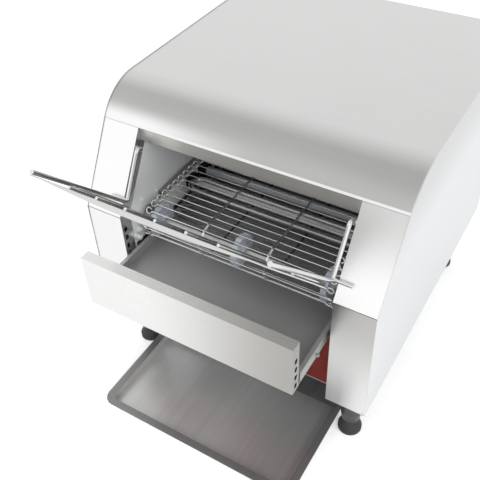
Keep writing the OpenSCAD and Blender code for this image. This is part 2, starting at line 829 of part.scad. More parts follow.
module drive_chain() {
  color(dark_steel) from_front() translate([0, motor_d_pos, motor_z]) rotate([chain_angle, 0, 0])
    union() for (i = [0:chain_count - 1]) chain_link(i);
}

bracket_t = 3;
gearbox_w = 34;
gearbox_x = wall_x - bracket_t - gearbox_w;

// Gearbox below and above the output shaft, and the round can on its side
module gear_motor() {
  can_z = motor_z + 2;
  color([0.35, 0.36, 0.38]) from_front() difference() {
    union() {
      box([gearbox_x, motor_d_pos - motor_d / 2 - 2, motor_z - 19],
        [wall_x - bracket_t, motor_d_pos + motor_d / 2 - 2, motor_z + 30]);
      cross_bar(gearbox_x - motor_l, motor_d_pos - 1, can_z, motor_d / 2, motor_l);
      cross_bar(gearbox_x - motor_l - 3, motor_d_pos - 1, can_z, motor_d / 2 - 5, 4);
    }
    cross_bar(gearbox_x + 10, motor_d_pos, motor_z, motor_shaft_r + running_fit, gearbox_w);
  }
}

module motor_shaft() {
  color(dark_steel) from_front()
    cross_bar(gearbox_x + 11, motor_d_pos, motor_z, motor_shaft_r, chain_x + 2 * wheel_w - gearbox_x - 11);
}

// Plate between the gearbox and the wall
module motor_bracket() {
  l = motor_d + 12;
  color(steel) from_front() difference() {
    box([wall_x - bracket_t, motor_d_pos - l / 2 - 2, motor_z - 16],
      [wall_x, motor_d_pos + l / 2 - 2, motor_z + 36]);
    cross_bar(wall_x - bracket_t - 1, motor_d_pos, motor_z, 9, bracket_t + 2);
  }
}

module fan_frame() {
  z = base_top_z;
  color(black) from_front() difference() {
    union() {
      difference() {
        box([fan_x - fan_size / 2, fan_d - fan_size / 2, z],
          [fan_x + fan_size / 2, fan_d + fan_size / 2, z + fan_h]);
        translate([fan_x, fan_d, z - 1]) cylinder(r = fan_size / 2 - 3, h = fan_h + 2);
      }
      translate([fan_x, fan_d, z + fan_h - 3]) cylinder(r = 14, h = 3);
      for (a = [0:90:270]) translate([fan_x, fan_d, z + fan_h - 3]) rotate([0, 0, a + 20])
        translate([10, -1.5, 0]) cube([fan_size / 2 - 12, 3, 3]);
    }
    translate([fan_x, fan_d, z + fan_h - 4]) cylinder(r = 3 + running_fit, h = 5);
  }
}

// Hub with seven pitched blades, on a spindle that runs in the frame
module fan_rotor() {
  z = base_top_z;
  color(black) from_front() translate([fan_x, fan_d, z]) union() {
    cylinder(r = 3, h = fan_h - 0.5);
    translate([0, 0, 4]) cylinder(r = 13, h = fan_h - 8);
    for (k = [0:6]) rotate([0, 0, k * 360 / 7]) translate([11, 0, fan_h / 2]) rotate([32, 0, 0])
      translate([0, -7, -0.8]) cube([fan_size / 2 - 15.5, 14, 1.6]);
  }
}

// Round wire guard below the base pan
module fan_guard() {
  color(dark_steel) from_front() translate([fan_x, fan_d, leg_h]) union() {
    for (r = [10, 20, 30, fan_size / 2 - 2]) translate([0, 0, -1]) rotate_extrude()
      translate([r, 0]) square([1.6, 1.6], center = true);
    for (a = [45, 135]) rotate([0, 0, a]) translate([-fan_size / 2 + 1, -0.8, -1.8])
      cube([fan_size - 2, 1.6, 1.6]);
  }
}

// Row of screw terminals, with a groove between each pair
module terminal_block() {
  ways = 5;
  pitch = way_pitch;
  size = [ways * pitch, block_d, block_h];
  place = [10, panel_d + 36, base_top_z];
  color([0.9, 0.9, 0.86]) from_front() translate(place) difference() {
    cube(size);
    for (k = [0:ways - 1]) translate([(k + 0.5) * pitch, size[1] / 2, size[2] / 3])
      cylinder(r = pitch / 4, h = size[2]);
    for (k = [1:ways - 1]) translate([k * pitch - 1, -1, size[2] * 2 / 3]) cube([2, size[1] + 2, size[2]]);
  }
}

// Circuit board on two posts, with a transformer and a capacitor
module speed_board() {
  size = [board_w, board_l, 1.6];
  post_h = 6;
  color([0.15, 0.35, 0.2]) from_front() translate([-20, panel_d + 20, base_top_z]) union() {
    translate([0, 0, post_h]) cube(size);
    for (d = [6, size[1] - 6]) translate([size[0] / 2, d, 0]) cylinder(r = 3, h = post_h);
    translate([3, 14, post_h + size[2]]) cube([size[0] - 6, 16, 10]);
    translate([size[0] / 2, 40, post_h + size[2]]) cylinder(r = 6, h = 10);
  }
}

// Strain relief in the rear panel: thread, flange, hexagon and dome nut round one bore
module cable_gland() {
  color(black) from_front() translate([gland_x, body_d, gland_z]) rotate([-90, 0, 0]) difference() {
    union() {
      translate([0, 0, -sheet - 10]) cylinder(r = gland_thread_r - 0.1, h = sheet + 10);
      translate([0, 0, -sheet - 5]) cylinder(r = 12, h = 5, $fn = 6);
      cylinder(r = 12.5, h = 2);
      translate([0, 0, 2]) cylinder(r = 12, h = 7, $fn = 6);
      translate([0, 0, 9]) cylinder(r = 10, h = gland_l - 9);
    }
    translate([0, 0, -sheet - 11]) cylinder(r = gland_bore_r, h = sheet + gland_l + 12);
  }
}

// ---------- toast path ----------

// Half profile of the chute's sheet, pushed out by t from its upper surface
function chute_line(t) = concat(
  [[chute_end_d + t * sin(chute_angle), chute_end_z - t * cos(chute_angle)]],
  [for (k = [0:chute_flats])
    let (a = (chute_angle - 90) * (1 - k / chute_flats))
    [chute_turn_d + (chute_r + t) * cos(a), chute_turn_z + (chute_r + t) * sin(a)]],
  [[chute_turn_d + chute_r + t, chute_top_z]]);

// Ribbed slope with side folds, heel bent up in flats and upright back plate
module discharge_chute() {
  w = 2 * chute_half_w;
  inner = chute_line(0);
  outer = chute_line(sheet);
  color(steel) from_front() union() {
    across(-w / 2, w) polygon(concat(inner, [for (i = [len(outer) - 1:-1:0]) outer[i]]));
    translate([0, chute_end_d, chute_end_z]) rotate([chute_angle, 0, 0]) {
      for (s = [-1, 1]) box([s > 0 ? w / 2 - sheet : -w / 2, 1, -sheet / 2],
        [s > 0 ? w / 2 : -w / 2 + sheet, chute_slope_l - 2, 12]);
      for (k = [-4:4]) translate([k * chute_rib_pitch, 0, 0])
        box([-2, 6, -sheet / 2], [2, chute_slope_l - 6, 1.4]);
      // tabs that reach the chamber walls
      for (s = [-1, 1], y = [chute_slope_l - 150, chute_slope_l - 30])
        box([s > 0 ? w / 2 - sheet / 2 : -wall_x, y, 2], [s > 0 ? wall_x : -w / 2 + sheet / 2, y + 12, 10]);
    }
  }
}

// Plate over the toast's way out, below the electrical bay
module chute_cover() {
  l = (bay_top_z - 1 - base_top_z) / sin(chute_angle);
  color(steel) from_front() translate([0, bay_d, base_top_z]) rotate([chute_angle, 0, 0])
    box([-wall_x, 0, 0], [wall_x, l - 4, sheet]);
}

module bay_cover() {
  end_d = bay_d + (bay_top_z - 1 - base_top_z) / chute_tan;
  color(steel) from_front() box([-wall_x, fold_d, bay_top_z - sheet], [wall_x, end_d, bay_top_z]);
}

// ---------- crumb drawer ----------

module drawer_runners() {
  z = drawer_z - 0.4;
  color(steel) from_front() for (s = [-1, 1]) union() {
    box([s > 0 ? wall_x - 12 : -wall_x, fold_d + 2, z - sheet],
      [s > 0 ? wall_x : -wall_x + 12, drawer_l, z]);
    box([s > 0 ? wall_x - sheet : -wall_x, fold_d + 2, z - sheet],
      [s > 0 ? wall_x : -wall_x + sheet, drawer_l, z + 16]);
  }
}

// Tray behind the drawer front: floor, back wall and two side walls with flanges turned inwards
module crumb_drawer() {
  w = drawer_half_w;
  wall_d = drawer_fold + drawer_gap;
  color(steel) from_front() translate([0, -drawer_out, drawer_z]) union() {
    box([-w, drawer_fold, 0], [w, drawer_l, sheet]);
    box([-w, drawer_l - sheet, 0], [w, drawer_l, drawer_wall_h]);
    for (s = [-1, 1]) {
      box([s > 0 ? w - sheet : -w, wall_d, 0], [s > 0 ? w : sheet - w, drawer_l, drawer_wall_h]);
      box([s > 0 ? w - drawer_flange_w : -w, wall_d, drawer_wall_h - sheet],
        [s > 0 ? w : drawer_flange_w - w, drawer_l, drawer_wall_h]);
      // stop pin on the outer side
      cross_bar(s > 0 ? w - sheet / 2 : -w - 3, stop_pin_d, 5, 2, sheet / 2 + 3);
    }
  }
}

stop_pin_d = drawer_fold + 41;

// Drawer front: a flat hollow box with slotted ends
module drawer_front() {
  w = 2 * drawer_half_w + 1;
  color(steel) from_front() translate([0, -drawer_out, 0]) difference() {
    box([-w / 2, 0, drawer_z], [w / 2, drawer_fold, drawer_z + drawer_front_h]);
    box([-w / 2 + sheet, sheet, drawer_z + sheet],
      [w / 2 - sheet, drawer_fold - sheet, drawer_z + drawer_front_h - sheet]);
    for (s = [-1, 1]) fold_slots(s > 0 ? w / 2 - 2 * sheet : -w / 2 - sheet, drawer_fold / 2);
  }
}

// ---------- catch tray ----------

// Shallow pan with round corners, upright walls and a flat rim
module catch_tray() {
  inner = [tray_w / 2 - tray_rim_w, tray_l - 2 * tray_rim_w];
  front = tray_rim_w - tray_reach;
  corner = tray_corner - tray_rim_w / 2;
  color(steel) from_front() difference() {
    union() {
      rounded_slab([-inner[0] - sheet, front - sheet], [inner[0] + sheet, front + inner[1] + sheet],
        corner + sheet, 0, tray_h);
      rounded_slab([-tray_w / 2, -tray_reach], [tray_w / 2, tray_l - tray_reach], tray_corner,
        tray_h - 1.6, tray_h);
    }
    rounded_slab([-inner[0], front], [inner[0], front + inner[1]], corner, sheet, tray_h + 1);
  }
}

// A plate with round corners between two corners in plan
module rounded_slab(a, b, r, z0, z1) {
  translate([a[0] + r, a[1], z0]) cube([b[0] - a[0] - 2 * r, b[1] - a[1], z1 - z0]);
  translate([a[0], a[1] + r, z0]) cube([b[0] - a[0], b[1] - a[1] - 2 * r, z1 - z0]);
  for (x = [a[0] + r, b[0] - r], y = [a[1] + r, b[1] - r])
    translate([x, y, z0]) cylinder(r = r, h = z1 - z0);
}

// ---------- loading rack ----------

// Point on the rack: across x, s millimetres down from the outer edge, h above the sheet
function rack_point(x, s, h) = [x,
  -rack_reach + s * cos(rack_slope) + h * sin(rack_slope),
  rack_top_z - s * sin(rack_slope) + h * cos(rack_slope)];

rack_l = norm([rack_reach + rack_inner_d, rack_top_z - rack_inner_z]);

// One bent side wire: guide rail, arm up the opening and hook in the sloped face's fold
module rack_side_wire(s) {
  r = rack_wire_r;
  arm_x = post_x - 5.5;
  low = [s * (arm_x - 1), rack_rest_d - 0.4, rack_rest_z - 2.2];
  union() {
    bent_wire([rack_point(s * rack_outer_w, 1, r + 0.1), low,
      [s * arm_x, hook_d - 8, hook_z + rack_hook_drop], [s * arm_x, hook_d, hook_z],
      [s * (post_x + 5), hook_d, hook_z]], r, rack_bend);
    // stub that rests on the sloped face
    wire([s * (arm_x - 1), rack_rest_d, rack_rest_z], [s * (arm_x + rack_rest_l), rack_rest_d, rack_rest_z],
      r * rack_stub_share);
  }
}

// Lower leg of each side wire, lying along the sheet
module rack_side_leg(s) {
  h = rack_wire_r * rack_stub_share;
  wire(rack_point(s * (rack_inner_w - 6), rack_l - 6, h + 0.1),
    rack_point(s * (rack_outer_w - 3), rack_l * 0.4, h + 0.1), h);
}

// A rib that the bread slides on: a straight wire lying on the sheet
module rack_rib(x) {
  h = rack_rib_r + 0.1;
  wire(rack_point(x * rack_outer_w / rack_inner_w, 0, h), rack_point(x, rack_l - 8, h), rack_rib_r);
}

module loading_rack() {
  color([0.75, 0.75, 0.73]) from_front() {
    for (s = [-1, 1]) rack_side_wire(s);
    for (s = [-1, 1]) rack_side_leg(s);
    for (k = [-2.5:2.5]) rack_rib(k * rack_rib_pitch);
  }
}

// Sheet of the rack, wider at its inner edge; its outer edge is turned down, deepest in the middle
module rack_sheet() {
  w = rack_outer_w;
  steps = 8;
  color(steel) from_front() translate(rack_point(0, 0, 0)) rotate([-rack_slope, 0, 0]) union() {
    translate([0, 0, -sheet]) linear_extrude(sheet)
      polygon([[-w, 0], [w, 0], [rack_inner_w, rack_l], [-rack_inner_w, rack_l]]);
    translate([0, rack_lip_back, -0.2]) rotate([90, 0, 0]) linear_extrude(sheet)
      polygon(concat([[-w, 0], [w, 0]], [for (k = [steps - 1:-1:1 - steps])
        [w * k / steps, 0.2 - rack_lip_h * (1 - pow(k / steps, 2))]]));
  }
}

// ---------- legs and feet ----------

module legs() {
  color(black) from_front() for (s = [-1, 1], d = [leg_front_d, body_d - leg_rear_d])
    translate([s * leg_x, d, 0]) difference() {
      union() {
        rotate_extrude() polygon([[0, foot_gap_z], [11, foot_gap_z], [14, 40], [19, leg_h - 6],
          [20, leg_h], [0, leg_h]]);
        translate([0, 0, leg_h]) cylinder(r = leg_bolt_r, h = sheet + 6);
      }
      translate([0, 0, foot_gap_z - 1]) cylinder(r = foot_stem_r + running_fit, h = foot_travel + 34);
    }
}

foot_gap_z = 22;
foot_stem_r = 5;

module foot(s, d) {
  color(black) from_front() translate([s * leg_x, d, 0]) rotate_extrude()
    polygon([[0, 0], [foot_r - 1.5, 0], [foot_r, 1.5], [foot_r, 6], [8, foot_gap_z - 3],
      [8, foot_gap_z], [foot_stem_r, foot_gap_z], [foot_stem_r, foot_gap_z + foot_travel + 10],
      [0, foot_gap_z + foot_travel + 10]]);
}

module foot_front_left() foot(-1, leg_front_d);
module foot_front_right() foot(1, leg_front_d);
module foot_rear_left() foot(-1, body_d - leg_rear_d);
module foot_rear_right() foot(1, body_d - leg_rear_d);

// ---------- controls ----------

// Speed control behind the panel, with its turning shaft's bush
module speed_control() {
  bush_out = 2;
  color([0.3, 0.3, 0.32]) from_front() translate([knob_x, 0, control_z]) rotate([-90, 0, 0])
    difference() {
      union() {
        translate([0, 0, panel_d - bush_out]) cylinder(r = pot_r - 0.1, h = bush_out + sheet + 2);
        translate([0, 0, panel_d + sheet]) cylinder(r = 12, h = 14);
      }
      translate([0, 0, panel_d - bush_out - 1]) cylinder(r = 3 + running_fit, h = bush_out + 10);
    }
}

// Knob with grip flutes, a pointer line and the shaft that it turns
module speed_knob() {
  r = knob_d / 2;
  color(black) from_front() translate([knob_x, panel_d, control_z]) rotate([90, 0, 0]) difference() {
    union() {
      translate([0, 0, 2.5]) cylinder(r = r, h = 4);
      translate([0, 0, 2.5]) cylinder(r = r - 4, h = knob_l);
      translate([0, 0, -7]) cylinder(r = 3, h = 11);
    }
    for (a = [0:30:330]) rotate([0, 0, a]) translate([r - 2.6, 0, 8]) cylinder(r = 2.4, h = knob_l);
    translate([-0.8, 3, knob_l + 1.7]) cube([1.6, r, 2]);
  }
}

// Housings of the two rocker switches
module switch_bodies() {
  wall = 1.4;
  color(black) from_front() for (x = rocker_x) difference() {
    union() {
      box([x - rocker_w / 2 + 0.2, panel_d - 2, control_z - rocker_h / 2 + 0.2],
        [x + rocker_w / 2 - 0.2, panel_d + 22, control_z + rocker_h / 2 - 0.2]);
      box([x - rocker_w / 2 - 1.5, panel_d - 1.6, control_z - rocker_h / 2 - 1.5],
        [x + rocker_w / 2 + 1.5, panel_d, control_z + rocker_h / 2 + 1.5]);
    }
    box([x - rocker_w / 2 + wall, panel_d - 4, control_z - rocker_h / 2 + wall],
      [x + rocker_w / 2 - wall, panel_d + 14, control_z + rocker_h / 2 - wall]);
    cross_bar(x - rocker_w / 2 - 1, rocker_pivot_d, control_z, 1 + running_fit, rocker_w + 2);
  }
}

rocker_pivot_d = panel_d + 5;
rocker_throw = 9;

// Rocker key on its cross pin, shown tipped to one side
module rocker(x) {
  w = rocker_w - 4;
  h = rocker_h - 5;
  translate([x, rocker_pivot_d, control_z]) rotate([rocker_throw, 0, 0]) union() {
    across(-w / 2, w) polygon([[2.2, -h / 2 + 4], [2.2, h / 2 - 4], [-7.6, h / 2 - 0.6],
      [-6.6, 0], [-7.6, -h / 2 + 0.6]]);
    cross_bar(-w / 2 - 1.6, 0, 0, 1, w + 3.2);
  }
}

module power_rocker() color([0.7, 0.08, 0.06]) from_front() rocker(rocker_x[0]);
module heat_rocker() color([0.12, 0.12, 0.12]) from_front() rocker(rocker_x[1]);

module indicator_lamp() {
  color([0.9, 0.55, 0.15]) from_front() translate([lamp_x, 0, control_z]) rotate([-90, 0, 0]) union() {
    translate([0, 0, panel_d - 1.6]) cylinder(r = lamp_r + 2, h = 1.6);
    translate([0, 0, panel_d - 3]) cylinder(r = lamp_r - 0.2, h = 24);
    translate([0, 0, panel_d - 2.6]) scale(1) sphere(r = 4.6);
  }
}

// ---------- fasteners ----------

module pan_screw(l) {
  union() {
    cylinder(r = screw_head_r, h = 2);
    translate([0, 0, -l]) cylinder(r = screw_r, h = l);
  }
}

module casing_screws() {
  color([0.6, 0.6, 0.6]) from_front() union() {
    rear_screw_places() pan_screw(7);
  }
}

left_side_panel();
right_side_panel();
top_cover();
rear_panel();
base_pan();
left_fascia();
right_fascia();
hood_lip();
left_post();
right_post();
control_panel();
left_inner_wall();
right_inner_wall();
upper_reflector();
upper_quartz_tubes();
heater_end_caps();
lower_quartz_tubes();
lower_elements();
heater_blocks();
element_terminals();
belt_rails();
belt();
front_shaft();
front_sprockets();
rear_shaft();
rear_sprockets();
shaft_bearings();
chain_wheel();
drive_chain();
motor_wheel();
gear_motor();
motor_shaft();
motor_bracket();
fan_frame();
fan_rotor();
fan_guard();
terminal_block();
speed_board();
cable_gland();
discharge_chute();
chute_cover();
bay_cover();
drawer_runners();
crumb_drawer();
drawer_front();
catch_tray();
loading_rack();
rack_sheet();
legs();
foot_front_left();
foot_front_right();
foot_rear_left();
foot_rear_right();
speed_control();
speed_knob();
switch_bodies();
power_rocker();
heat_rocker();
indicator_lamp();
casing_screws();
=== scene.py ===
import math

import bpy
from mathutils import Matrix, Vector


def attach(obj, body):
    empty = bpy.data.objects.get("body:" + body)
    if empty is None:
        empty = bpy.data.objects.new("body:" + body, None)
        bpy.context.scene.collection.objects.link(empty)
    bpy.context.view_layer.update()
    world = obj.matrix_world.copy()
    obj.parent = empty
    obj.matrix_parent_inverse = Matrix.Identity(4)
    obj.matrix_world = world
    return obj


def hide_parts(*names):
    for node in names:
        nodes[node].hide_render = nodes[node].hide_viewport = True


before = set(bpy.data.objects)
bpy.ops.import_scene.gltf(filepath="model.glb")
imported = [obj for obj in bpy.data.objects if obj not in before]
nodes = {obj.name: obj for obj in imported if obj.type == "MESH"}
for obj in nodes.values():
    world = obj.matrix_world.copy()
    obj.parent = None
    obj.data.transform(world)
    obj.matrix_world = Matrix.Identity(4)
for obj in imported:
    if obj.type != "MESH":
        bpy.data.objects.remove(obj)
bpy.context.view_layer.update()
scene = bpy.context.scene
scene.view_settings.view_transform = "Standard"

FRONT_Y = -0.159876  # plane of the front posts
CAMERA_AZIMUTH = math.radians(32.91)
CAMERA_ELEVATION = math.radians(42.23)
CAMERA_ROLL = math.radians(-2.77)
CAMERA_PLACE = (0.3156, -0.443 + FRONT_Y, 0.7728)


# ---------- camera ----------

def set_camera():
    level = math.cos(CAMERA_ELEVATION)
    back = Vector((math.sin(CAMERA_AZIMUTH) * level, -math.cos(CAMERA_AZIMUTH) * level,
                   math.sin(CAMERA_ELEVATION)))
    right = (-back).cross(Vector((0, 0, 1))).normalized()
    up = right.cross(-back)
    side = math.cos(CAMERA_ROLL) * right + math.sin(CAMERA_ROLL) * up
    top = -math.sin(CAMERA_ROLL) * right + math.cos(CAMERA_ROLL) * up
    turn = Matrix((side, top, back)).transposed().to_4x4()
    lens = bpy.data.cameras.new("camera")
    lens.lens = 52.32
    lens.sensor_width = 36
    lens.clip_start = 0.02
    camera = bpy.data.objects.new("camera", lens)
    scene.collection.objects.link(camera)
    camera.matrix_world = Matrix.Translation(CAMERA_PLACE) @ turn
    scene.camera = camera


set_camera()


# ---------- shader maths ----------

OBJECT_OUTPUT = 3    # Texture Coordinate: Object
CAMERA_RAY = 0       # Light Path: Is Camera Ray
GLOSSY_RAY = 3       # Light Path: Is Glossy Ray

class Wire:
    """A value in a material: a socket with arithmetic."""

    def __init__(self, finish, socket):
        self.finish, self.socket = finish, socket

    def _math(self, what, *others):
        return self.finish.node("ShaderNodeMath", {"operation": what}, self, *others)

    def __add__(self, o): return self._math("ADD", o)
    def __radd__(self, o): return self._math("ADD", o)
    def __sub__(self, o): return self._math("SUBTRACT", o)
    def __rsub__(self, o): return self.finish.node("ShaderNodeMath", {"operation": "SUBTRACT"}, o, self)
    def __mul__(self, o): return self._math("MULTIPLY", o)
    def __rmul__(self, o): return self._math("MULTIPLY", o)

    def clamp(self):
        return self.finish.node("ShaderNodeMath", {"operation": "ADD", "use_clamp": True}, self, 0.0)

    def smooth(self, low, high):
        return self.finish.node("ShaderNodeMapRange", {"interpolation_type": "SMOOTHSTEP"},
                                self, low, high, 0.0, 1.0)


class Finish:
    """One material and the nodes in it."""

    def __init__(self, name):
        self.material = bpy.data.materials.new(name)
        self.material.use_nodes = True
        self.tree = self.material.node_tree
        self.shader = self.tree.nodes["Principled BSDF"]

    def plug(self, value, socket):
        if isinstance(value, Wire):
            self.tree.links.new(value.socket, socket)
        elif value is not None:
            socket.default_value = value

    def node(self, kind, settings=None, *inputs, out=0, **named):
        made = self.tree.nodes.new(kind)
        for key, value in (settings or {}).items():
            setattr(made, key, value)
        for socket, value in zip([s for s in made.inputs if s.enabled], inputs):
            self.plug(value, socket)
        for key, value in named.items():
            self.plug(value, made.inputs[key.replace("_", " ")])
        outputs = [s for s in made.outputs if s.enabled]
        return Wire(self, outputs[out])

    def place(self, scale=(1, 1, 1)):
        """Object coordinates, stretched by scale."""
        spot = self.node("ShaderNodeTexCoord", None, out=OBJECT_OUTPUT)
        return self.node("ShaderNodeMapping", None, Vector=spot, Scale=scale)

    def noise(self, scale, size, detail, rough):
        return self.node("ShaderNodeTexNoise", None, Vector=self.place(scale), Scale=size,
                         Detail=detail, Roughness=rough)

    def mix(self, factor, first, second):
        return self.node("ShaderNodeMix", {"data_type": "RGBA"}, factor, rgba(first), rgba(second))

    def bump(self, height, strength, distance):
        return self.node("ShaderNodeBump", None, Height=height, Strength=strength, Distance=distance)

    def set(self, **sockets):
        for key, value in sockets.items():
            if key.endswith("Color"):
                value = rgba(value)
            self.plug(value, self.shader.inputs[key.replace("_", " ")])


def rgba(colour):
    return colour if isinstance(colour, Wire) else (*colour, 1)


finishes = {}

GRAIN_SCALES = {"x": ((6, 900, 900), (2, 160, 160)), "y": ((900, 6, 900), (160, 2, 160)),
                "z": ((900, 900, 6), (160, 160, 2))}
DARK_SHARE = 0.82    # darkest streak, as a share of a steel's tone
LIGHT_SHARE = 1.14   # brightest streak
STREAK_SPREAD = 3.0  # how far a streak moves between them
STEEL_GRAIN_HEIGHT = 0.0004
PLASTIC_GRAIN_HEIGHT = 0.0003


def brushed(name, tone, rough, grain, contrast=0.06, depth=0.05, smudge=0.04, metallic=1.0, painted_light_ramps=()):
    """Brushed sheet: fine streaks along one axis and broad faint smudges. Each painted-light ramp is a slow
    change to another tone, between two places on one axis or on two, painting shade and highlights into the
    colour."""
    f = Finish(name)
    fine, broad = GRAIN_SCALES[grain]
    line = f.noise(fine, 1.0, 3.0, 0.6)
    band = f.noise(broad, 1.0, 2.0, 0.5)
    haze = f.noise((1, 1, 1), 9.0, 3.0, 0.55)
    streaks = (line - 0.5) * contrast + (band - 0.5) * contrast * 0.5
    value = (streaks + (haze - 0.5) * smudge) * STREAK_SPREAD

    def shade(colour):
        return f.mix((value + 0.5).clamp(), tuple(c * DARK_SHARE for c in colour),
                     tuple(min(1.0, c * LIGHT_SHARE) for c in colour))

    colour = shade(tone)
    # painted light: each ramp blends the streaked tone towards a painted tone that stands in for shade and
    # highlights
    for painted_tone, *spans in painted_light_ramps:
        share = 1.0
        for axis, start, end in spans:
            along = f.node("ShaderNodeSeparateXYZ", None, f.place(), out="XYZ".index(axis))
            share = along.smooth(start, end) * share
        colour = f.mix(share, colour, shade(painted_tone))
    f.set(Base_Color=colour, Metallic=metallic,
          Roughness=(rough + (line - 0.5) * 0.16 + (haze - 0.5) * 0.12).clamp(),
          Normal=f.bump(line * 0.7 + band * 0.3, depth, STEEL_GRAIN_HEIGHT))
    finishes[name] = f.material


def moulded(name, colour, rough, grain_size=1400.0, depth=0.12, coat=0.0, shine=0.5):
    """Moulded plastic or cast paint: fine grain and a slight change of tone."""
    f = Finish(name)
    fine = f.noise((1, 1, 1), grain_size, 2.0, 0.5)
    broad = f.noise((1, 1, 1), 30.0, 3.0, 0.6)
    dark = tuple(c * 0.85 for c in colour)
    light = tuple(min(1.0, c * 1.15 + 0.004) for c in colour)
    f.set(Base_Color=f.mix(broad.smooth(0.3, 0.7), dark, light),
          Roughness=(rough + (broad - 0.5) * 0.14 + (fine - 0.5) * 0.08).clamp(),
          Coat_Weight=coat, Specular_IOR_Level=shine,
          Normal=f.bump(fine, depth, PLASTIC_GRAIN_HEIGHT))
    finishes[name] = f.material


# painted light: darker bend below a lighter top, a painted reflection low on the left of the curve, a
# painted highlight along the bottom edge
brushed("top_steel", (0.51, 0.51, 0.50), 0.32, "x", contrast=0.07, smudge=0.10,
        painted_light_ramps=[((0.66, 0.66, 0.655), ("Z", 0.373, 0.380)),
                ((0.95, 0.95, 0.95), ("Z", 0.366, 0.352), ("X", 0.03, -0.14)),
                ((0.90, 0.90, 0.90), ("Z", 0.3494, 0.3488))])
brushed("rear_steel", (0.70, 0.70, 0.695), 0.32, "x")
brushed("left_face_steel", (0.98, 0.98, 0.98), 0.36, "x", contrast=0.03, smudge=0.01)
# painted shade: the right fascia darkens towards the top, from 0.275 m to 0.345 m
brushed("right_face_steel", (1.0, 1.0, 1.0), 0.34, "x", contrast=0.04,
        painted_light_ramps=[((0.69, 0.69, 0.685), ("Z", 0.275, 0.345))])
brushed("left_post_steel", (0.84, 0.84, 0.84), 0.34, "z", contrast=0.03, smudge=0.02)
# painted shade: the right post darkens between 0.12 m and 0.25 m
brushed("right_post_steel", (0.83, 0.83, 0.825), 0.32, "z", contrast=0.06,
        painted_light_ramps=[((0.50, 0.495, 0.48), ("Z", 0.12, 0.25))])
brushed("lip_steel", (0.60, 0.59, 0.57), 0.34, "x", contrast=0.10, smudge=0.26)
# painted shade: the drawer front darkens towards the right
brushed("drawer_steel", (0.82, 0.82, 0.81), 0.30, "x", contrast=0.05, smudge=0.04,
        painted_light_ramps=[((0.40, 0.39, 0.37), ("X", -0.06, 0.14))])
# painted shade: the side panels darken towards the top
brushed("side_steel", (0.81, 0.82, 0.828), 0.34, "y", contrast=0.03, smudge=0.03,
        painted_light_ramps=[((0.68, 0.68, 0.68), ("Z", 0.28, 0.375))])
brushed("wall_steel", (0.94, 0.95, 0.96), 0.50, "y", contrast=0.05, smudge=0.10, metallic=0.0)
brushed("inner_steel", (0.60, 0.61, 0.62), 0.42, "y", contrast=0.08, smudge=0.10)
brushed("rail_steel", (0.34, 0.345, 0.35), 0.45, "y", contrast=0.08, smudge=0.10, metallic=0.5)
# painted shade: a near-black tone for the chute and bay covers, which sit in shade under the drawer
brushed("chamber_steel", (0.09, 0.09, 0.088), 0.50, "y", contrast=0.10, smudge=0.15, metallic=0.6)
# painted shade: the drawer floor darkens towards the right
brushed("crumb_steel", (0.56, 0.56, 0.555), 0.42, "x", contrast=0.06, smudge=0.26, metallic=0.5,
        painted_light_ramps=[((0.40, 0.40, 0.395), ("X", -0.06, 0.06))])
# painted light and shade: the tray lightens towards its left end, darkens towards the right and goes
# near-black above 13 mm
brushed("tray_steel", (0.70, 0.70, 0.69), 0.34, "y", contrast=0.30, smudge=0.14, metallic=0.6,
        painted_light_ramps=[((0.74, 0.74, 0.73), ("X", -0.07, -0.13)), ((0.50, 0.50, 0.495), ("X", 0.00, 0.10)),
                ((0.20, 0.20, 0.20), ("Z", 0.0124, 0.0132))])
brushed("rack_steel", (0.72, 0.72, 0.71), 0.24, "x", contrast=0.03, depth=0.0)
brushed("shaft_steel", (0.52, 0.52, 0.52), 0.32, "x", contrast=0.10)
brushed("bush_steel", (0.62, 0.62, 0.61), 0.38, "x", contrast=0.12, smudge=0.15)
brushed("element_sheath", (0.76, 0.76, 0.75), 0.24, "y", contrast=0.10, smudge=0.16)
brushed("chain_steel", (0.30, 0.29, 0.28), 0.42, "y", contrast=0.15, smudge=0.25)
brushed("bright_wire", (0.80, 0.80, 0.79), 0.14, "y", contrast=0.05, depth=0.0)
# painted shade: strands of the lower run, under the top run, darken from just behind the front roller
brushed("belt_wire", (0.93, 0.93, 0.92), 0.16, "x", contrast=0.06, depth=0.0, smudge=0.10,
        painted_light_ramps=[((0.22, 0.22, 0.21), ("Z", 0.244, 0.234), ("Y", -0.105, -0.075))])
brushed("screw_steel", (0.70, 0.70, 0.69), 0.25, "y", contrast=0.06)
moulded("sprocket_plastic", (0.50, 0.53, 0.58), 0.42)
moulded("black_plastic", (0.030, 0.030, 0.032), 0.42)
moulded("leg_black", (0.022, 0.022, 0.023), 0.36, 900.0)
moulded("foot_rubber", (0.028, 0.028, 0.028), 0.62, 700.0, 0.25)
moulded("motor_paint", (0.11, 0.115, 0.13), 0.40, 500.0, 0.15)
# painted shade: the red is darkened to a red-brown for the shade the body casts on the panel
moulded("control_red", (0.17, 0.022, 0.016), 0.50, 800.0, 0.10, shine=0.12)
moulded("red_switch", (0.50, 0.02, 0.015), 0.18, 2000.0, 0.04, coat=0.4)
moulded("black_switch", (0.018, 0.018, 0.018), 0.20, 2000.0, 0.04, coat=0.4)
moulded("ceramic", (0.82, 0.80, 0.74), 0.45, 600.0, 0.2)
moulded("dark_ceramic", (0.012, 0.012, 0.012), 0.55, 600.0, 0.25)
moulded("block_white", (0.80, 0.80, 0.75), 0.40)
moulded("board_green", (0.03, 0.11, 0.045), 0.35, 300.0, 0.1)


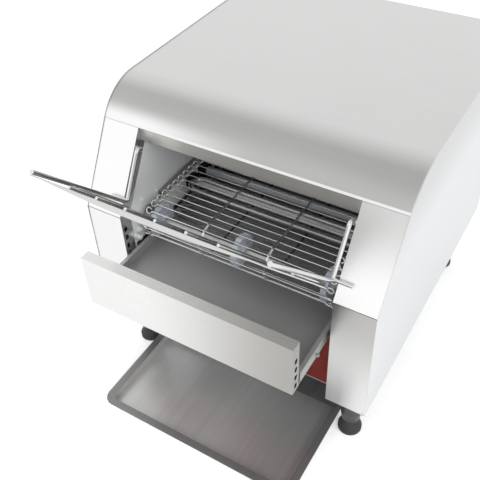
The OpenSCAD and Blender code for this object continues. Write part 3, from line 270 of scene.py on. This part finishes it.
def quartz_tube():
    f = Finish("quartz")
    frost = f.noise((1, 1, 1), 160.0, 3.0, 0.6)
    turns = f.node("ShaderNodeTexWave", {"wave_type": "BANDS", "bands_direction": "X"},
                   Vector=f.place(), Scale=110.0, Distortion=0.0)
    f.set(Base_Color=f.mix(turns.smooth(0.3, 0.8), (0.64, 0.66, 0.69), (0.86, 0.88, 0.91)),
          Roughness=(0.24 + (frost - 0.5) * 0.2).clamp(), Coat_Weight=0.5,
          Normal=f.bump(turns, 0.35, 0.0006))
    finishes["quartz"] = f.material


def amber_lens():
    f = Finish("lamp_amber")
    facet = f.noise((1, 1, 1), 500.0, 1.0, 0.5)
    f.set(Base_Color=f.mix(facet.smooth(0.3, 0.7), (0.78, 0.30, 0.03), (0.92, 0.45, 0.08)),
          Roughness=(0.14 + facet * 0.08).clamp(), Coat_Weight=0.6, Normal=f.bump(facet, 0.2, 0.0004))
    finishes["lamp_amber"] = f.material


quartz_tube()
amber_lens()

NODE_FINISH = {
    "left_side_panel": "side_steel", "right_side_panel": "side_steel", "top_cover": "top_steel",
    "rear_panel": "rear_steel", "base_pan": "inner_steel", "left_fascia": "left_face_steel",
    "right_fascia": "right_face_steel", "hood_lip": "lip_steel",
    "left_post": "left_post_steel", "right_post": "right_post_steel",
    "control_panel": "control_red", "left_inner_wall": "wall_steel", "right_inner_wall": "wall_steel",
    "upper_reflector": "inner_steel", "upper_quartz_tubes": "quartz", "heater_end_caps": "ceramic",
    "lower_quartz_tubes": "quartz", "lower_elements": "element_sheath", "heater_blocks": "dark_ceramic",
    "element_terminals": "ceramic", "belt_rails": "rail_steel", "belt": "belt_wire",
    "front_shaft": "shaft_steel", "front_sprockets": "sprocket_plastic", "rear_shaft": "shaft_steel",
    "rear_sprockets": "sprocket_plastic", "shaft_bearings": "bush_steel", "chain_wheel": "shaft_steel",
    "drive_chain": "chain_steel", "motor_wheel": "shaft_steel", "gear_motor": "motor_paint",
    "motor_shaft": "shaft_steel", "motor_bracket": "inner_steel", "fan_frame": "black_plastic",
    "fan_rotor": "black_plastic", "fan_guard": "bright_wire", "terminal_block": "block_white",
    "speed_board": "board_green", "cable_gland": "black_plastic", "discharge_chute": "chamber_steel",
    "chute_cover": "chamber_steel", "bay_cover": "chamber_steel", "drawer_runners": "inner_steel",
    "crumb_drawer": "crumb_steel", "drawer_front": "drawer_steel", "catch_tray": "tray_steel",
    "loading_rack": "bright_wire", "rack_sheet": "rack_steel", "legs": "leg_black",
    "foot_front_left": "foot_rubber", "foot_front_right": "foot_rubber", "foot_rear_left": "foot_rubber",
    "foot_rear_right": "foot_rubber", "speed_control": "motor_paint", "speed_knob": "black_plastic",
    "switch_bodies": "black_plastic", "power_rocker": "red_switch", "heat_rocker": "black_switch",
    "indicator_lamp": "lamp_amber", "casing_screws": "screw_steel"}

for node_name, finish_name in NODE_FINISH.items():
    part = nodes[node_name]
    part.data.materials.clear()
    part.data.materials.append(finishes[finish_name])


# ---------- wire work ----------

def bend_wires(name, paths, radius):
    """Round wires along smooth paths of (x, y, z, share of the radius), turned into one mesh."""
    bpy.ops.object.select_all(action="DESELECT")
    curve = bpy.data.curves.new(name, "CURVE")
    curve.dimensions = "3D"
    curve.bevel_depth = radius
    curve.bevel_resolution = 1
    curve.use_fill_caps = True
    for path in paths:
        spline = curve.splines.new("NURBS")
        spline.points.add(len(path) - 1)
        for point, (*place, thickness) in zip(spline.points, path):
            point.co = (*place, 1)
            point.radius = thickness
        spline.order_u = 3
        spline.use_endpoint_u = True
        spline.resolution_u = 2
    wires = bpy.data.objects.new(name, curve)
    scene.collection.objects.link(wires)
    bpy.context.view_layer.objects.active = wires
    wires.select_set(True)
    bpy.ops.object.convert(target="MESH")
    bpy.ops.object.shade_smooth()
    return bpy.context.object


STRAND_PITCH = 0.0111
STRAND_RADIUS = 0.00075
RING_RADIUS = 0.0040
BELT_TEETH = 12
RUN_PITCHES = 26
SHAFT_Z = 0.2285
JOINT_X = 0.042      # each row of joints, from the middle
RING_X = 0.1204      # centre of each edge ring, from the middle
RING_TILT = 0.71     # how far a ring leans back and up
RING_START, RING_STEP = -320, 40    # degrees
RING_THICKNESS = 1.3
BELT_RADIUS = STRAND_PITCH / (2 * math.sin(math.pi / BELT_TEETH))
FRONT_SHAFT_Y = FRONT_Y + 0.047
REAR_SHAFT_Y = FRONT_SHAFT_Y + RUN_PITCHES * STRAND_PITCH


def strand_places():
    """Centre of each strand round the belt, as (y, z)."""
    places = []
    for first_y, step, bend_y, top in ((FRONT_SHAFT_Y, STRAND_PITCH, REAR_SHAFT_Y, 1),
                                       (REAR_SHAFT_Y, -STRAND_PITCH, FRONT_SHAFT_Y, -1)):
        places += [(first_y + k * step, SHAFT_Z + top * BELT_RADIUS) for k in range(RUN_PITCHES + 1)]
        for k in range(1, BELT_TEETH // 2):
            a = top * math.pi / 2 - k * 2 * math.pi / BELT_TEETH
            places.append((bend_y + BELT_RADIUS * math.cos(a), SHAFT_Z + BELT_RADIUS * math.sin(a)))
    return places


def joint_points(x):
    """A narrow hairpin that leaves the strand at x, reaches over the next strand and hooks under it."""
    p = STRAND_PITCH
    half = [(0.0050, 0, 0, 1.0), (0.0018, 0.0001, 0.0001, 1.0), (0.0008, 0.0016, 0.0004, 0.8),
            (0.0007, p - 0.0022, 0.0013, 0.8), (0.0007, p + 0.0004, 0.0014, 0.8),
            (0.0006, p + 0.0016, -0.0001, 0.8), (0.0005, p + 0.0010, -0.0013, 0.8)]
    first = [(x - a, b, c, r) for a, b, c, r in half]
    return first + [(x + a, b, c, r) for a, b, c, r in reversed(half)]


def edge_ring():
    """The ring coiled at a strand's left end, tilted back, from its free end to the straight wire."""
    ring = []
    for turn in range(RING_START, 1, RING_STEP):
        a = math.radians(turn)
        back = RING_RADIUS * math.sin(a) * RING_TILT
        ring.append((-RING_X + RING_RADIUS * math.cos(a), back, back, RING_THICKNESS))
    return ring + [(-0.1155, 0, 0, 1.0), (-0.112, 0, 0, 1.0)]


def strand_points():
    """One strand from edge ring to edge ring, as (across, towards the next strand, outwards, thickness)."""
    left = edge_ring()
    right = [(-x, y, z, r) for x, y, z, r in reversed(left)]
    return left + joint_points(-JOINT_X) + [(0.0, 0, 0, 1.0)] + joint_points(JOINT_X) + right


def weave_belt():
    places = strand_places()
    shape = strand_points()
    paths = []
    for k, (y, z) in enumerate(places):
        ny, nz = places[(k + 1) % len(places)]
        step = Vector((0, ny - y, nz - z)).normalized()
        out = Vector((1, 0, 0)).cross(step)
        start = Vector((0, y, z))
        paths.append([(*(start + Vector((a, 0, 0)) + step * b + out * c), r) for a, b, c, r in shape])
    wires = bend_wires("belt_wires", paths, STRAND_RADIUS)
    wires.data.materials.clear()
    wires.data.materials.append(finishes["belt_wire"])
    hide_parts("belt")
    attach(wires, "casing")


weave_belt()


# ---------- studio ----------

AIM = (0, 0, 0.2)
FLOOR_SIZE = 14
FLOOR_Z = -0.0004
FLOOR_GLOW, FLOOR_MIRROR_GLOW = 0.40, 0.25
SKY_STOPS = ((0.35, 1.14), (0.60, 1.0), (0.70, 1.0), (0.90, 0.80))    # place and level of each
ROOM_LIGHT = (0.70, 0.705, 0.71, 1)

def set_floor():
    bpy.ops.object.select_all(action="DESELECT")
    bpy.ops.mesh.primitive_plane_add(size=FLOOR_SIZE, location=(0, 0, FLOOR_Z))
    floor = bpy.context.object
    floor.name = "studio_floor"
    f = Finish("studio_floor")
    seen = f.node("ShaderNodeLightPath", None, out=CAMERA_RAY)
    mirrored = f.node("ShaderNodeLightPath", None, out=GLOSSY_RAY)
    f.set(Base_Color=(0.92, 0.92, 0.92), Roughness=0.7, Specular_IOR_Level=0.1)
    f.set(Emission_Color=seen * FLOOR_GLOW + mirrored * FLOOR_MIRROR_GLOW, Emission_Strength=1.0)
    floor.data.materials.append(f.material)


def add_lamp(name, place, size, power):
    data = bpy.data.lights.new(name, "AREA")
    data.shape = "RECTANGLE"
    data.size, data.size_y = size, size
    data.energy = power
    lamp = bpy.data.objects.new(name, data)
    scene.collection.objects.link(lamp)
    lamp.location = place
    lamp.rotation_euler = (Vector(AIM) - Vector(place)).to_track_quat("-Z", "Y").to_euler()
    lamp.visible_glossy = False


def set_world():
    world = bpy.data.worlds.new("studio")
    scene.world = world
    world.use_nodes = True
    tree = world.node_tree
    back = tree.nodes["Background"]
    path = tree.nodes.new("ShaderNodeLightPath")
    spot = tree.nodes.new("ShaderNodeTexCoord")
    split = tree.nodes.new("ShaderNodeSeparateXYZ")
    tree.links.new(spot.outputs["Generated"], split.inputs[0])
    ramp = tree.nodes.new("ShaderNodeValToRGB")
    stops = ramp.color_ramp.elements
    for place, level in SKY_STOPS[1:-1]:
        stops.new(place)
    for stop, (place, level) in zip(stops, SKY_STOPS):
        stop.position = place
        stop.color = (level, level, level, 1)
    tree.links.new(split.outputs["Z"], ramp.inputs[0])
    mirrored = tree.nodes.new("ShaderNodeMix")
    mirrored.data_type = "RGBA"
    mirrored.inputs[6].default_value = ROOM_LIGHT
    tree.links.new(path.outputs["Is Glossy Ray"], mirrored.inputs[0])
    tree.links.new(ramp.outputs[0], mirrored.inputs[7])
    seen = tree.nodes.new("ShaderNodeMix")
    seen.data_type = "RGBA"
    tree.links.new(path.outputs["Is Camera Ray"], seen.inputs[0])
    tree.links.new(mirrored.outputs[2], seen.inputs[6])
    seen.inputs[7].default_value = (1, 1, 1, 1)
    tree.links.new(seen.outputs[2], back.inputs["Color"])
    back.inputs["Strength"].default_value = 1.0


set_floor()
set_world()
add_lamp("key", (-0.9, -1.5, 1.7), 2.0, 12)
add_lamp("fill", (1.6, -0.9, 1.0), 1.6, 17)
